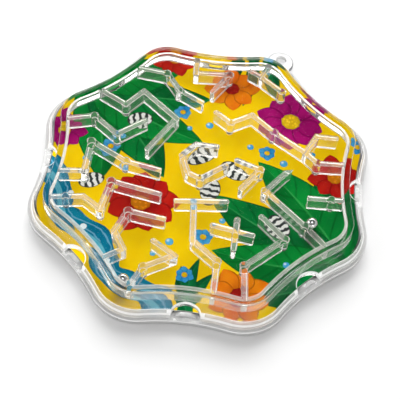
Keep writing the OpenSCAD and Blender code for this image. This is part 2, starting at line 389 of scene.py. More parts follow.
# ---------------------------------------------------------------------------
# shader helpers
# ---------------------------------------------------------------------------
class Tree:
    def __init__(self, name):
        self.mat = bpy.data.materials.new(name)
        self.mat.use_nodes = True
        self.nt = self.mat.node_tree
        self.nt.nodes.clear()
        self.out = self.nt.nodes.new("ShaderNodeOutputMaterial")
        self.bsdf = self.nt.nodes.new("ShaderNodeBsdfPrincipled")

    def node(self, kind, **sets):
        n = self.nt.nodes.new(kind)
        for k, v in sets.items():
            setattr(n, k, v)
        return n

    def link(self, a, b):
        self.nt.links.new(a, b)

    def feed(self, socket, value):
        if isinstance(value, bpy.types.NodeSocket):
            self.link(value, socket)
        else:
            socket.default_value = value

    def math(self, op, a, b=0.0, clamp=False):
        n = self.node("ShaderNodeMath", operation=op, use_clamp=clamp)
        self.feed(n.inputs[0], a)
        self.feed(n.inputs[1], b)
        return n.outputs[0]

    def ramp(self, value, lo, hi, a=0.0, b=1.0):
        n = self.node("ShaderNodeMapRange", interpolation_type="SMOOTHSTEP")
        self.feed(n.inputs["Value"], value)
        n.inputs["From Min"].default_value = lo
        n.inputs["From Max"].default_value = hi
        n.inputs["To Min"].default_value = a
        n.inputs["To Max"].default_value = b
        return n.outputs["Result"]

    def mix(self, fac, a, b, blend="MIX"):
        n = self.node("ShaderNodeMix", data_type="RGBA", blend_type=blend)
        self.feed(n.inputs["Factor"], fac)
        self.feed(n.inputs[6], (*a, 1.0) if isinstance(a, tuple) and len(a) == 3 else a)
        self.feed(n.inputs[7], (*b, 1.0) if isinstance(b, tuple) and len(b) == 3 else b)
        return n.outputs[2]

    def noise(self, scale, detail=3.0, rough=0.5, vector=None, stretch=None, distortion=0.0):
        if vector is None:
            vector = self.node("ShaderNodeTexCoord").outputs["Object"]
        if stretch is not None:
            m = self.node("ShaderNodeMapping")
            m.inputs["Scale"].default_value = stretch
            self.link(vector, m.inputs["Vector"])
            vector = m.outputs["Vector"]
        n = self.node("ShaderNodeTexNoise", noise_dimensions="3D")
        self.link(vector, n.inputs["Vector"])
        n.inputs["Scale"].default_value = scale
        n.inputs["Detail"].default_value = detail
        n.inputs["Roughness"].default_value = rough
        n.inputs["Distortion"].default_value = distortion
        return n.outputs["Fac"]

    def bump(self, height, strength, distance):
        n = self.node("ShaderNodeBump")
        n.inputs["Strength"].default_value = strength
        n.inputs["Distance"].default_value = distance
        self.link(height, n.inputs["Height"])
        self.link(n.outputs["Normal"], self.bsdf.inputs["Normal"])

    def finish(self):
        self.link(self.bsdf.outputs[0], self.out.inputs["Surface"])
        return self.mat

    def finish_clear(self, shade):
        """Lamps shine straight through, so that what lies inside is lit."""
        path = self.node("ShaderNodeLightPath")
        clear = self.node("ShaderNodeBsdfTransparent")
        clear.inputs["Color"].default_value = (*shade, 1.0)
        m = self.node("ShaderNodeMixShader")
        self.link(path.outputs["Is Shadow Ray"], m.inputs[0])
        self.link(self.bsdf.outputs[0], m.inputs[1])
        self.link(clear.outputs[0], m.inputs[2])
        self.link(m.outputs[0], self.out.inputs["Surface"])
        return self.mat


# ---------------------------------------------------------------------------
# clear plastic
# ---------------------------------------------------------------------------
def clear_plastic(name, tint, shade, clear=1.0, ripple=0.25):
    t = Tree(name)
    b = t.bsdf
    b.inputs["Base Color"].default_value = (*tint, 1.0)
    b.inputs["Transmission Weight"].default_value = clear
    b.inputs["IOR"].default_value = 1.57
    # faint moulding ripple and handling marks
    fine = t.noise(900.0, 3.0, 0.6)
    t.link(t.ramp(fine, 0.35, 0.8, 0.015, 0.06), b.inputs["Roughness"])
    t.bump(t.noise(140.0, 2.0, 0.5), ripple, 0.00004)
    return t.finish_clear(shade)


print_reflection_ramps = []


def milky(name, clear_lo, clear_hi, rough, shade, tint=(0.95, 0.95, 0.94), painted_print_reflection=None):
    """Faces partly clear, partly whitish: the whitish share is partly a moulded, unpolished finish and partly painted
    sheen standing in for light reflected and guided in the plastic; the last argument is how much of the print beside
    is painted into them, a painted reflection of it.
    """
    t = Tree(name)
    b = t.bsdf
    b.inputs["Base Color"].default_value = (*tint, 1.0)
    b.inputs["IOR"].default_value = 1.57
    cloud = t.noise(420.0, 4.0, 0.6)
    if painted_print_reflection:
        # painted reflection of the print beside, looked up by the angle around the case
        xyz = t.node("ShaderNodeSeparateXYZ")
        t.link(t.node("ShaderNodeTexCoord").outputs["Object"], xyz.inputs[0])
        around = t.math("ADD", t.math("DIVIDE", t.math("ARCTAN2", xyz.outputs[1], xyz.outputs[0]), 2 * math.pi), 0.5)
        halves = [t.node("ShaderNodeValToRGB") for _ in range(2)]
        t.link(t.math("MULTIPLY", around, 2.0), halves[0].inputs["Fac"])
        t.link(t.math("SUBTRACT", t.math("MULTIPLY", around, 2.0), 1.0), halves[1].inputs["Fac"])
        print_reflection_ramps.append([h.color_ramp for h in halves])
        painted_print_colour = t.mix(t.math("GREATER_THAN", around, 0.5), halves[0].outputs["Color"], halves[1].outputs["Color"])
        t.link(t.mix(t.ramp(cloud, 0.25, 0.75, *painted_print_reflection), tint, painted_print_colour), b.inputs["Base Color"])
    t.link(t.ramp(cloud, 0.25, 0.75, clear_hi, clear_lo), b.inputs["Transmission Weight"])
    t.link(t.ramp(cloud, 0.25, 0.75, rough * 0.6, rough), b.inputs["Roughness"])
    return t.finish_clear((shade, shade, shade))


def banded(name, stops, rough, shade, painted_print_reflection=None):
    """Edge whose whiteness changes with height, with painted highlight bands where it is whiter and painted shade
    bands where it is greyer: stops are (height in mm, grey level, how clear); the last argument is how much of the
    print beside is painted in, a painted reflection of it.
    """
    lo, hi = stops[0][0], stops[-1][0]
    t = Tree(name)
    b = t.bsdf
    b.inputs["IOR"].default_value = 1.57
    cloud = t.noise(420.0, 4.0, 0.6)
    xyz = t.node("ShaderNodeSeparateXYZ")
    t.link(t.node("ShaderNodeTexCoord").outputs["Object"], xyz.inputs[0])
    band = t.node("ShaderNodeValToRGB")
    t.link(t.math("DIVIDE", t.math("SUBTRACT", t.math("DIVIDE", xyz.outputs[2], MM), lo), hi - lo), band.inputs["Fac"])
    marks = band.color_ramp.elements
    while len(marks) < len(stops):
        marks.new(0.5)
    for mark, (z, grey, clear) in zip(marks, stops):
        mark.position = (z - lo) / (hi - lo)
        mark.color = (grey, grey * 0.995, grey * 0.985, clear)
    col = band.outputs["Color"]
    if painted_print_reflection:
        # painted reflection of the print beside, strongest where the band is clear
        around = t.math("ADD", t.math("DIVIDE", t.math("ARCTAN2", xyz.outputs[1], xyz.outputs[0]), 2 * math.pi), 0.5)
        halves = [t.node("ShaderNodeValToRGB") for _ in range(2)]
        t.link(t.math("MULTIPLY", around, 2.0), halves[0].inputs["Fac"])
        t.link(t.math("SUBTRACT", t.math("MULTIPLY", around, 2.0), 1.0), halves[1].inputs["Fac"])
        print_reflection_ramps.append([h.color_ramp for h in halves])
        painted_print_colour = t.mix(t.math("GREATER_THAN", around, 0.5), halves[0].outputs["Color"], halves[1].outputs["Color"])
        col = t.mix(t.ramp(band.outputs["Alpha"], 0.25, 0.6, *painted_print_reflection), col, painted_print_colour)
    t.link(col, b.inputs["Base Color"])
    t.link(t.math("MULTIPLY", band.outputs["Alpha"], t.ramp(cloud, 0.25, 0.75, 1.05, 0.9)), b.inputs["Transmission Weight"])
    t.link(t.ramp(cloud, 0.25, 0.75, rough * 0.6, rough), b.inputs["Roughness"])
    return t.finish_clear((shade, shade, shade))


mat_cover = clear_plastic("clear_window_plastic", (0.99, 0.995, 0.995), (0.97, 0.97, 0.97))
mat_wall = clear_plastic("clear_wall_plastic", (0.99, 0.98, 0.96), (0.88, 0.88, 0.88), 0.955, 0.1)
mat_edge = clear_plastic("clear_edge_plastic", (0.99, 0.995, 0.995), (0.88, 0.88, 0.88))
# painted sheen: the cream whitish share on the ring wall stands in for light reflected along it
mat_ring = milky("ring_wall_milky_painted_sheen", 0.76, 0.86, 0.10, 0.74, (0.99, 0.975, 0.93))
# painted highlight: the whitish fillet where the ring wall meets the window stands in for the bright line of light
# along it
mat_fillet = milky("ring_fillet_milky_painted_highlight", 0.48, 0.60, 0.12, 0.80, (0.99, 0.965, 0.90))
mat_fillet.node_tree.nodes["Principled BSDF"].inputs["Specular IOR Level"].default_value = 0.0
mat_base = clear_plastic("clear_base_plastic", (0.985, 0.99, 0.99), (0.74, 0.74, 0.74))
mat_foot = milky("matte_wall_foot", 0.72, 0.80, 0.13, 0.8, (0.97, 0.94, 0.87))
mat_foot.node_tree.nodes["Principled BSDF"].inputs["Specular IOR Level"].default_value = 0.0
# painted highlight and painted shade: the skirt is greyer low down, a painted shade at the parting line, and white
# above; its top is white at both rounded edges, a painted highlight, and greyer between; both carry a painted
# reflection of the print beside
mat_skirt = banded("skirt_painted_light_bands", [(2.4, 0.70, 0.40), (3.3, 0.66, 0.50), (3.6, 0.99, 0.26), (4.25, 0.99, 0.26)], 0.15, 0.64, (0.0, 0.12))
mat_brow = banded("skirt_top_painted_light_bands", [(4.15, 0.97, 0.28), (4.35, 0.76, 0.60), (5.15, 0.78, 0.60), (5.4, 0.99, 0.30), (5.7, 0.99, 0.30)],
                  0.20, 0.68, (0.02, 0.24))
# painted highlight: the whitish notch wall stands in for the bright line of light along the notch's upper edge
mat_notch = milky("notch_wall_milky_painted_highlight", 0.12, 0.22, 0.30, 0.80, (0.98, 0.98, 0.97))
# painted light: the whitish share on the base's upper edge, its ledge at the notches and the top of the hang tab
# stands in for light guided through the clear base
mat_rim = milky("base_edge_milky_painted_light", 0.45, 0.60, 0.30, 0.82)
# painted highlight and painted shade: on the base's outer side, white lines at the bottom edge and below the top stand
# in for highlights, a grey band between and a darker line at the top edge for shade
mat_bead = banded("base_side_painted_light_bands", [(0.0, 0.99, 0.10), (0.3, 0.98, 0.12), (0.5, 0.60, 0.42), (1.35, 0.62, 0.42), (1.6, 0.99, 0.15),
                                        (2.2, 0.99, 0.15), (2.37, 0.52, 0.40), (2.4, 0.52, 0.40)],
                  0.45, 0.78)
# painted shade: the dark grey hang tab rim stands in for the dark outline that refraction gives the rim of a clear tab
mat_tab = milky("hang_tab_rim_painted_dark_outline", 0.10, 0.16, 0.30, 0.85, (0.20, 0.205, 0.21))
mat_tab.node_tree.nodes["Principled BSDF"].inputs["Specular IOR Level"].default_value = 0.0
mat_bevel = milky("matte_wall_bevel", 0.25, 0.35, 0.50, 0.80, (0.97, 0.93, 0.84))
mat_bevel.node_tree.nodes["Principled BSDF"].inputs["Specular IOR Level"].default_value = 0.1
mat_end = milky("milky_wall_end", 0.14, 0.26, 0.50, 0.80, (0.98, 0.98, 0.97))


def notch_at(c):
    """How far a point lies from the axis of the nearest notch."""
    return min(math.hypot(c.x - turn((SIDE_R, 0), (j + 0.5) * STEP)[0], c.y - turn((SIDE_R, 0), (j + 0.5) * STEP)[1])
               for j in range(8))


# slots 4, 5, 6, 7 and 10 carry painted highlight, painted shade, painted sheen and painted print reflection
cover.data.materials.clear()
for mat in (mat_cover, mat_foot, mat_wall, mat_edge, mat_skirt, mat_notch, mat_ring, mat_brow, mat_end, mat_bevel, mat_fillet):
    cover.data.materials.append(mat)
for f in cover.data.polygons:
    c = f.center / MM
    d = inset(c.x, c.y)
    at_boss = min(math.hypot(c.x - x, c.y - y) for x, y in BOSSES) - BOSS_D / 2
    k = 0
    if d < 7.4:
        k = 3 if not (d > 5.9 and c.z > 10.5) else 0
        if d > 5.5 and 5.9 < c.z < 10.4:
            k = 6
        if d < 2.75 and 2.44 < c.z < 5.5:
            k = 7 if c.z > 4.2 else 4
        if notch_at(c) < NOTCH_R + 0.41 and c.z < 5.69 and (c.z > 4.7 or d < 2.7):
            k = 5
    elif c.z < 9.0:
        k = 2
        if f.normal.z < -0.12 and c.z < 4.2 and at_boss > 0.02 and d > 8.6:
            k = 1 if f.normal.z < -0.97 else 9
        if -0.3 < at_boss < 0.03 and c.z < 3.9 and f.normal.z > -0.95:
            k = 9
    elif c.z < 9.14 and d > 9.2 and 0.1 < abs(f.normal.z) < 0.97:
        k = 1
    if 8.7 < c.z <= 9.0 and d > 9.2 and abs(f.normal.z) > 0.1:
        k = 1
    if 7.45 < d < 8.72 and 7.75 < c.z < 9.12:
        k = 10
    if 7.57 < d < 9.5 and 3.7 < c.z < 8.3 and abs(f.normal.z) < 0.5:
        for tip, way in ring_ends:
            if math.hypot(c.x - tip.x, c.y - tip.y) < 1.15 and f.normal.x * way.x + f.normal.y * way.y > 0.25:
                k = 8
    f.material_index = k
# slots 1, 2 and 3 carry painted light on the base edge, painted highlight and shade bands on its side, and a painted
# dark outline on the hang tab rim
base.data.materials.clear()
for mat in (mat_base, mat_rim, mat_bead, mat_tab):
    base.data.materials.append(mat)
for f in base.data.polygons:
    c = f.center / MM
    d = inset(c.x, c.y)
    k = 0
    if (d < -0.5 and c.z > 0.9) or (c.z > PLATE_T + 0.05 and d < 3.0) or (c.z > PLATE_T - 0.05 and f.normal.z > 0.9 and notch_at(c) < NOTCH_R and d < 3.0):
        k = 1
    elif -0.5 < d < 0.9 and 0.05 < c.z < PLATE_T + 0.02:
        k = 2
    if d < -0.5 and abs(f.normal.z) < 0.97 and math.hypot(c.x, c.y - 62.9) > 4.4:
        k = 3
    f.material_index = k


# ---------------------------------------------------------------------------
# printed card: motif outlines are cut into its top face, each with its own ink
# ---------------------------------------------------------------------------
VIEW_TURN = math.radians(24)
motifs = []   # (ink name, outline, function from a point to motif coordinates, midrib)


def place(x, y, a):
    def out(p):
        q = turn(p, a)
        return (q[0] + x, q[1] + y)

    def back(p):
        return turn((p[0] - x, p[1] - y), -a)
    return out, back


def leaf(ink, x, y, deg, length, width, bend=0.0, blunt=0.75, n=16):
    """A leaf from its foot at x, y. Motif coordinates run along it and across it from -1 to 1."""
    out, back = place(x, y, math.radians(deg))

    def mid(s):
        return bend * length * 4 * s * (1 - s)

    def half(s):
        return width / 2 * max(0.0, math.sin(math.pi * min(1, max(0, s)) ** blunt)) ** 0.85

    upper = [out((length * i / n, mid(i / n) + half(i / n))) for i in range(1, n)]
    lower = [out((length * i / n, mid(i / n) - half(i / n))) for i in range(1, n)]

    def coords(p):
        q = back(p)
        s = q[0] / length
        h = half(s)
        return (s, max(-1.0, min(1.0, (q[1] - mid(s)) / h)) if h > 0.02 else 0.0)

    spine = [out((length * i / n, mid(i / n))) for i in range(n + 1)]
    motifs.append((ink, [out((0, 0))] + lower + [out((length, 0))] + upper[::-1], coords, spine))


def blob(ink, x, y, r, wobble=0.0, waves=5, phase=0.0, squash=1.0, deg=0.0, n=36):
    """A rounded spot. Motif coordinates are scaled to its radius."""
    out, back = place(x, y, math.radians(deg))
    pts = []
    for i in range(n):
        a = 2 * math.pi * i / n
        q = r * (1 + wobble * math.sin(waves * a + phase) + 0.4 * wobble * math.sin((waves + 2) * a + 2 * phase))
        pts.append(out((q * math.cos(a), q * squash * math.sin(a))))

    def coords(p):
        q = back(p)
        return (q[0] / r, q[1] / (r * squash))

    motifs.append((ink, pts, coords, []))


def flower(ink, heart, x, y, r, petals, deg=0.0, width=0.62, core=0.26):
    for k in range(petals):
        a = deg + 360 * k / petals
        leaf(ink, x, y, a, r * (0.94 + 0.06 * math.cos(3 * k)), r * width, 0.02 * (-1) ** k, 1.35, 12)
    blob(heart, x, y, r * core, 0.05, 9, 0.5, n=24)


def band(ink, path, width, n=10):
    """A wavy strip along points. Motif coordinates run along it and across it."""
    pts = [Vector(p) for p in path]
    fine = []
    for i in range(len(pts) - 1):
        p0, p1 = pts[max(i - 1, 0)], pts[i]
        p2, p3 = pts[i + 1], pts[min(i + 2, len(pts) - 1)]
        for k in range(n):
            t = k / n
            fine.append(0.5 * ((2 * p1) + (p2 - p0) * t + (2 * p0 - 5 * p1 + 4 * p2 - p3) * t * t
                               + (3 * p1 - p0 - 3 * p2 + p3) * t ** 3))
    fine.append(pts[-1])
    left, right = [], []
    for i, p in enumerate(fine):
        d = (fine[min(i + 1, len(fine) - 1)] - fine[max(i - 1, 0)]).normalized()
        w = width / 2 * (1 + 0.12 * math.sin(i * 0.9))
        left.append(p + Vector((-d.y, d.x)) * w)
        right.append(p - Vector((-d.y, d.x)) * w)

    def coords(q):
        q = Vector(q)
        i = min(range(len(fine)), key=lambda j: (fine[j] - q).length_squared)
        d = (fine[min(i + 1, len(fine) - 1)] - fine[max(i - 1, 0)]).normalized()
        return (i / len(fine), (q - fine[i]).dot(Vector((-d.y, d.x))) / (width / 2))

    motifs.append((ink, [tuple(p) for p in left + right[::-1]], coords, []))


# layout in a frame turned to the picture: u to the right, v away from the viewer
# a stream at the lower left
band("stream", [(-64, 8), (-50, -6), (-46, -20), (-33, -29), (-27, -42), (-12, -50), (-6, -66)], 9)
band("stream_light", [(-64, 5), (-49.5, -9), (-44.5, -22), (-32, -32), (-25, -45), (-11, -53), (-7, -66)], 2.2)
# broad leaves from the upper left
for a, l, w, b in [(-78, 44, 19, 0.05), (-52, 50, 20, 0.04), (-28, 49, 19, -0.05), (-4, 45, 18, -0.06), (18, 36, 15, -0.05)]:
    leaf("leaf_a" if a in (-78, -28, 18) else "leaf_b", -44, 37, a, l, w, b, 0.8)
# broad leaves from the lower right
for a, l, w, b in [(104, 46, 18, -0.05), (128, 52, 20, -0.04), (152, 54, 20, 0.04), (176, 46, 18, 0.05), (203, 36, 15, 0.05)]:
    leaf("leaf_b" if a in (104, 152, 203) else "leaf_a", 51, -33, a, l, w, b, 0.8)
# slim leaves at the top and at the near edge
for x, y, a, l in [(12, 58, -118, 24), (15, 58, -96, 26), (18, 58, -74, 23), (22, 57, -52, 20),
                   (-4, -58, 62, 22), (-2, -58, 82, 25), (1, -58, 104, 22)]:
    leaf("leaf_dark", x, y, a, l, 5.2, 0.06, 0.9)
# blooms
flower("petal_red", "heart_orange", -20, -13, 13.5, 9, 8)
flower("petal_magenta", "heart_yellow", 30, 27, 13.0, 10, 20)
flower("petal_orange", "heart_red", 8, 40, 10.5, 8, 5)
flower("petal_orange", "heart_red", 15, -46, 11.0, 8, 30)
flower("petal_red", "heart_orange", 46, 4, 10.0, 8, 10)
flower("petal_magenta", "heart_yellow", -50, 14, 8.5, 8, 0)
flower("petal_magenta", "heart_yellow", 40, -50, 9.0, 8, 15)
flower("petal_red", "heart_orange", -14, 52, 9.0, 8, 22)
# striped pebbles
for x, y, r, q, a in [(-1, 9, 6.4, 0.62, 35), (11, 3, 5.4, 0.66, -25), (3, -6, 5.0, 0.7, 80), (-38, -6, 4.6, 0.68, 20),
                      (27, -18, 4.8, 0.66, -50), (-24, 22, 4.6, 0.7, 10)]:
    blob("pebble", x, y, r, 0.03, 3, a, q, a)
# small blue blooms and dots
for x, y, r in [(-33, 9, 3.6), (-9, 27, 3.4), (22, 12, 3.3), (2, -25, 3.6), (54, 18, 3.4), (-3, -40, 3.3), (44, 42, 3.6)]:
    flower("petal_blue", "heart_yellow", x, y, r, 6, x * 7, 0.8, 0.3)
for x, y, r in [(-27, 2, 1.5), (-41, 3, 1.1), (-6, 20, 1.0), (-30, 15, 1.2), (16, 14, 1.2), (28, 8, 1.4), (-9, -28, 1.4),
                (-14, -33, 1.0), (8, -18, 1.1), (20, 50, 1.3), (34, 45, 1.2), (53, 28, 1.3), (30, -33, 1.2), (24, -54, 1.3),
                (-56, -20, 1.2), (-26, 54, 1.2), (1, 22, 1.4), (-2, -15, 1.2), (38, 13, 1.1), (-57, 2, 1.0)]:
    blob("dot_blue", x, y, r, 0.02, 4, x, n=18)
for x, y, r in [(-44, -12, 1.0), (-38, -25, 1.2), (-29, -36, 0.9), (-19, -46, 1.2), (-53, -4, 0.9), (-10, -55, 1.0)]:
    blob("dot_white", x, y, r, 0.03, 4, y, n=18)


def turned(p):
    return turn(p, VIEW_TURN)


def turns_left(poly):
    area = sum(poly[i - 1][0] * poly[i][1] - poly[i][0] * poly[i - 1][1] for i in range(len(poly)))
    return poly if area > 0 else poly[::-1]


card_ring = outline(3.13, 12, 8)
verts2, edges2, faces2 = [], [], []
for poly in [card_ring] + [turns_left([turned(p) for p in m[1]]) for m in motifs]:
    faces2.append(list(range(len(verts2), len(verts2) + len(poly))))
    verts2.extend(Vector(p) for p in poly)
for m in motifs:
    edges2.extend((len(verts2) + i, len(verts2) + i + 1) for i in range(len(m[3]) - 1))
    verts2.extend(Vector(turned(p)) for p in m[3])
flat_v, _, flat_f, _, _, from_f = geometry.delaunay_2d_cdt(verts2, edges2, faces2, 1, 1e-5, True)

inks = ["ground", "board", "stream", "stream_light", "leaf_a", "leaf_b", "leaf_dark", "petal_red", "petal_magenta",
        "petal_orange", "petal_blue", "heart_orange", "heart_yellow", "heart_red", "pebble", "dot_blue", "dot_white"]
bm = bmesh.new()
uv = bm.loops.layers.uv.new("print")
top = [bm.verts.new((v.x, v.y, CARD_TOP - 0.012)) for v in flat_v]
for f, src in zip(flat_f, from_f):
    if 0 not in src:
        continue
    try:
        face = bm.faces.new([top[i] for i in f])
    except ValueError:
        continue
    k = max(src)
    if k == 0:
        face.material_index = 0
        for l in face.loops:
            l[uv].uv = (l.vert.co.x / 60, l.vert.co.y / 60)
    else:
        ink, _, coords, _ = motifs[k - 1]
        face.material_index = inks.index(ink)
        for l in face.loops:
            l[uv].uv = coords(turn((l.vert.co.x, l.vert.co.y), -VIEW_TURN))
for v in [v for v in bm.verts if not v.link_faces]:
    bm.verts.remove(v)
bmesh.ops.recalc_face_normals(bm, faces=bm.faces)
if sum(f.normal.z for f in bm.faces) < 0:
    bmesh.ops.reverse_faces(bm, faces=bm.faces)
# edge and back of the board
rim_edges = [e for e in bm.edges if len(e.link_faces) == 1]
made = bmesh.ops.extrude_edge_only(bm, edges=rim_edges)
low = [g for g in made["geom"] if isinstance(g, bmesh.types.BMVert)]
for v in low:
    v.co.z = CARD_BOT + 0.012
for g in made["geom"]:
    if isinstance(g, bmesh.types.BMFace):
        g.material_index = 1
low_edges = [g for g in made["geom"] if isinstance(g, bmesh.types.BMEdge)
             and all(v.co.z < CARD_TOP - 0.1 for v in g.verts)]
back = bmesh.ops.contextual_create(bm, geom=low_edges)["faces"]
for f in back:
    f.material_index = 1
bmesh.ops.recalc_face_normals(bm, faces=bm.faces)
bmesh.ops.scale(bm, vec=(MM, MM, MM), verts=bm.verts)
print("piece card faces", len(bm.faces), "open edges", sum(1 for e in bm.edges if len(e.link_faces) != 2))
card_me = bpy.data.meshes.new("printed_card_sheet")
bm.to_mesh(card_me)
bm.free()
card = bpy.data.objects.new("printed_card_sheet", card_me)
scene.collection.objects.link(card)


def ink_mat(name, a, b, kind):
    """One ink of the print: two tones brushed into each other, with the motif's own drawing."""
    t = Tree("ink_" + name)
    big = t.noise(95.0, 3.0, 0.55)
    brush = t.noise(260.0, 4.0, 0.6, stretch=(1.0, 0.35, 1.0), distortion=0.4)
    tone = t.ramp(t.math("ADD", t.math("MULTIPLY", big, 0.6), t.math("MULTIPLY", brush, 0.4)), 0.36, 0.64)
    col = t.mix(tone, a, b)
    dark = tuple(0.45 * x for x in a)
    if kind != "ground":
        n = t.node("ShaderNodeUVMap", uv_map="print")
        sep = t.node("ShaderNodeSeparateXYZ")
        t.link(n.outputs["UV"], sep.inputs[0])
        s, v = sep.outputs[0], sep.outputs[1]
        av = t.math("ABSOLUTE", v)
    if kind == "leaf":
        # half the blade in shade, dark ribs slanting from a lighter midrib
        col = t.mix(t.ramp(v, -0.05, 0.05, 0.0, 0.45), col, dark)
        rib = t.math("FRACT", t.math("SUBTRACT", t.math("MULTIPLY", s, 8.0), t.math("MULTIPLY", av, 1.3)))
        rib = t.math("ABSOLUTE", t.math("SUBTRACT", rib, 0.5))
        col = t.mix(t.math("MULTIPLY", t.ramp(rib, 0.40, 0.49), 0.55), col, tuple(0.3 * x for x in a))
        col = t.mix(t.ramp(av, 0.02, 0.06, 0.7, 0.0), col, tuple(1.35 * x + 0.03 for x in b))
        col = t.mix(t.ramp(av, 0.90, 0.98, 0.0, 0.6), col, tuple(0.25 * x for x in a))
    elif kind == "petal":
        col = t.mix(t.ramp(s, 0.1, 0.6, 0.7, 0.0), col, dark)
        streak = t.noise(7.0, 2.0, 0.5, vector=n.outputs["UV"], stretch=(0.5, 4.0, 1.0))
        col = t.mix(t.ramp(streak, 0.52, 0.72, 0.0, 0.5), col, tuple(min(1, 1.25 * x) for x in b))
        col = t.mix(t.ramp(av, 0.82, 0.95, 0.0, 0.65), col, tuple(0.3 * x for x in a))
    elif kind in ("heart", "dot"):
        r = t.math("SQRT", t.math("ADD", t.math("MULTIPLY", s, s), t.math("MULTIPLY", v, v)))
        if kind == "heart":
            seeds = t.node("ShaderNodeTexVoronoi")
            seeds.inputs["Scale"].default_value = 900.0
            t.link(t.node("ShaderNodeTexCoord").outputs["Object"], seeds.inputs["Vector"])
            col = t.mix(t.ramp(seeds.outputs["Distance"], 0.2, 0.6, 0.0, 0.55), col, dark)
        else:
            off = t.math("SQRT", t.math("ADD", t.math("POWER", t.math("ADD", s, 0.35), 2.0),
                                        t.math("POWER", t.math("SUBTRACT", v, 0.35), 2.0)))
            col = t.mix(t.ramp(off, 0.1, 0.55, 0.7, 0.0), col, (0.85, 0.93, 0.96))
        col = t.mix(t.ramp(r, 0.78, 0.98, 0.0, 0.6), col, dark)
    elif kind == "pebble":
        warp = t.noise(2.2, 2.0, 0.5, vector=n.outputs["UV"])
        stripe = t.math("FRACT", t.math("ADD", t.math("MULTIPLY", s, 2.1), t.math("MULTIPLY", warp, 0.9)))
        stripe = t.math("ABSOLUTE", t.math("SUBTRACT", stripe, 0.5))
        col = t.mix(t.ramp(stripe, 0.235, 0.265), (0.012, 0.02, 0.02), col)
        r = t.math("SQRT", t.math("ADD", t.math("MULTIPLY", s, s), t.math("MULTIPLY", v, v)))
        col = t.mix(t.ramp(r, 0.90, 0.97), col, (0.01, 0.016, 0.016))
    elif kind == "stream":
        flow = t.math("FRACT", t.math("ADD", t.math("MULTIPLY", v, 1.7), t.math("MULTIPLY", big, 2.2)))
        flow = t.math("ABSOLUTE", t.math("SUBTRACT", flow, 0.5))
        col = t.mix(t.ramp(flow, 0.33, 0.49, 0.0, 0.5), col, (0.30, 0.62, 0.82))
        col = t.mix(t.ramp(av, 0.86, 1.0, 0.0, 0.5), col, dark)
    # paper tooth under the varnish
    grain = t.noise(5200.0, 2.0, 0.6)
    col = t.mix(t.ramp(grain, 0.3, 0.7, 0.0, 0.10), col, tuple(0.6 * x for x in a))
    t.link(col, t.bsdf.inputs["Base Color"])
    t.link(t.ramp(grain, 0.3, 0.7, 0.5, 0.62), t.bsdf.inputs["Roughness"])
    t.bsdf.inputs["Specular IOR Level"].default_value = 0.0
    t.bump(grain, 0.3, 0.00001)
    return t.finish()


INKS = {
    "ground": ((0.88, 0.55, 0.001), (0.93, 0.62, 0.002), "ground"),
    "stream": ((0.002, 0.15, 0.26), (0.006, 0.24, 0.36), "stream"),
    "stream_light": ((0.06, 0.36, 0.46), (0.14, 0.48, 0.58), "stream"),
    "leaf_a": ((0.001, 0.20, 0.030), (0.003, 0.27, 0.036), "leaf"),
    "leaf_b": ((0.001, 0.13, 0.028), (0.002, 0.21, 0.036), "leaf"),
    "leaf_dark": ((0.001, 0.09, 0.025), (0.004, 0.19, 0.05), "leaf"),
    "petal_red": ((0.42, 0.006, 0.006), (0.58, 0.02, 0.008), "petal"),
    "petal_magenta": ((0.26, 0.002, 0.10), (0.42, 0.006, 0.16), "petal"),
    "petal_orange": ((0.74, 0.13, 0.004), (0.86, 0.26, 0.006), "petal"),
    "petal_blue": ((0.01, 0.22, 0.52), (0.08, 0.40, 0.68), "petal"),
    "heart_orange": ((0.80, 0.22, 0.004), (0.88, 0.36, 0.008), "heart"),
    "heart_yellow": ((0.88, 0.50, 0.004), (0.94, 0.64, 0.02), "heart"),
    "heart_red": ((0.36, 0.008, 0.006), (0.5, 0.02, 0.01), "heart"),
    "pebble": ((0.80, 0.80, 0.74), (0.90, 0.90, 0.84), "pebble"),
    "dot_blue": ((0.02, 0.28, 0.58), (0.10, 0.46, 0.72), "dot"),
    "dot_white": ((0.80, 0.88, 0.90), (0.90, 0.95, 0.96), "dot"),
}


def board_mat():
    """Grey-white back and cut edge of the card, with faint fibres."""
    t = Tree("card_board")
    fibre = t.noise(700.0, 5.0, 0.65, stretch=(1.0, 0.25, 1.0))
    t.link(t.mix(t.ramp(fibre, 0.3, 0.7), (0.72, 0.70, 0.66), (0.82, 0.80, 0.76)), t.bsdf.inputs["Base Color"])
    t.link(t.ramp(fibre, 0.3, 0.7, 0.7, 0.85), t.bsdf.inputs["Roughness"])
    t.bump(fibre, 0.3, 0.00002)
    return t.finish()


for ink in inks:
    card.data.materials.append(board_mat() if ink == "board" else ink_mat(ink, *INKS[ink]))


# painted reflection: the whitish edge of the cover is tinted with the colour of the print that lies beside it,
# standing in for the print seen through the plastic
def ink_at(x, y):
    px, py = turn((x, y), -VIEW_TURN)
    for ink, poly, _, _ in reversed(motifs):
        hit = False
        for i in range(len(poly)):
            (x0, y0), (x1, y1) = poly[i - 1], poly[i]
            if (y0 > py) != (y1 > py) and px < x0 + (py - y0) * (x1 - x0) / (y1 - y0):
                hit = not hit
        if hit:
            return ink
    return "ground"


def print_beside(a):
    """Mean colour of the print just inside the card's edge, in direction a from the centre."""
    total = Vector((0.0, 0.0, 0.0))
    for da in (-0.04, 0.0, 0.04):
        for depth in (3.5, 4.6):
            lo, hi = 40.0, 62.0
            for _ in range(30):
                r = (lo + hi) / 2
                if inset(r * math.cos(a + da), r * math.sin(a + da)) > depth:
                    lo = r
                else:
                    hi = r
            one, two, _ = INKS[ink_at(lo * math.cos(a + da), lo * math.sin(a + da))]
            total += (Vector(one) + Vector(two)) / 2
    return total / 6


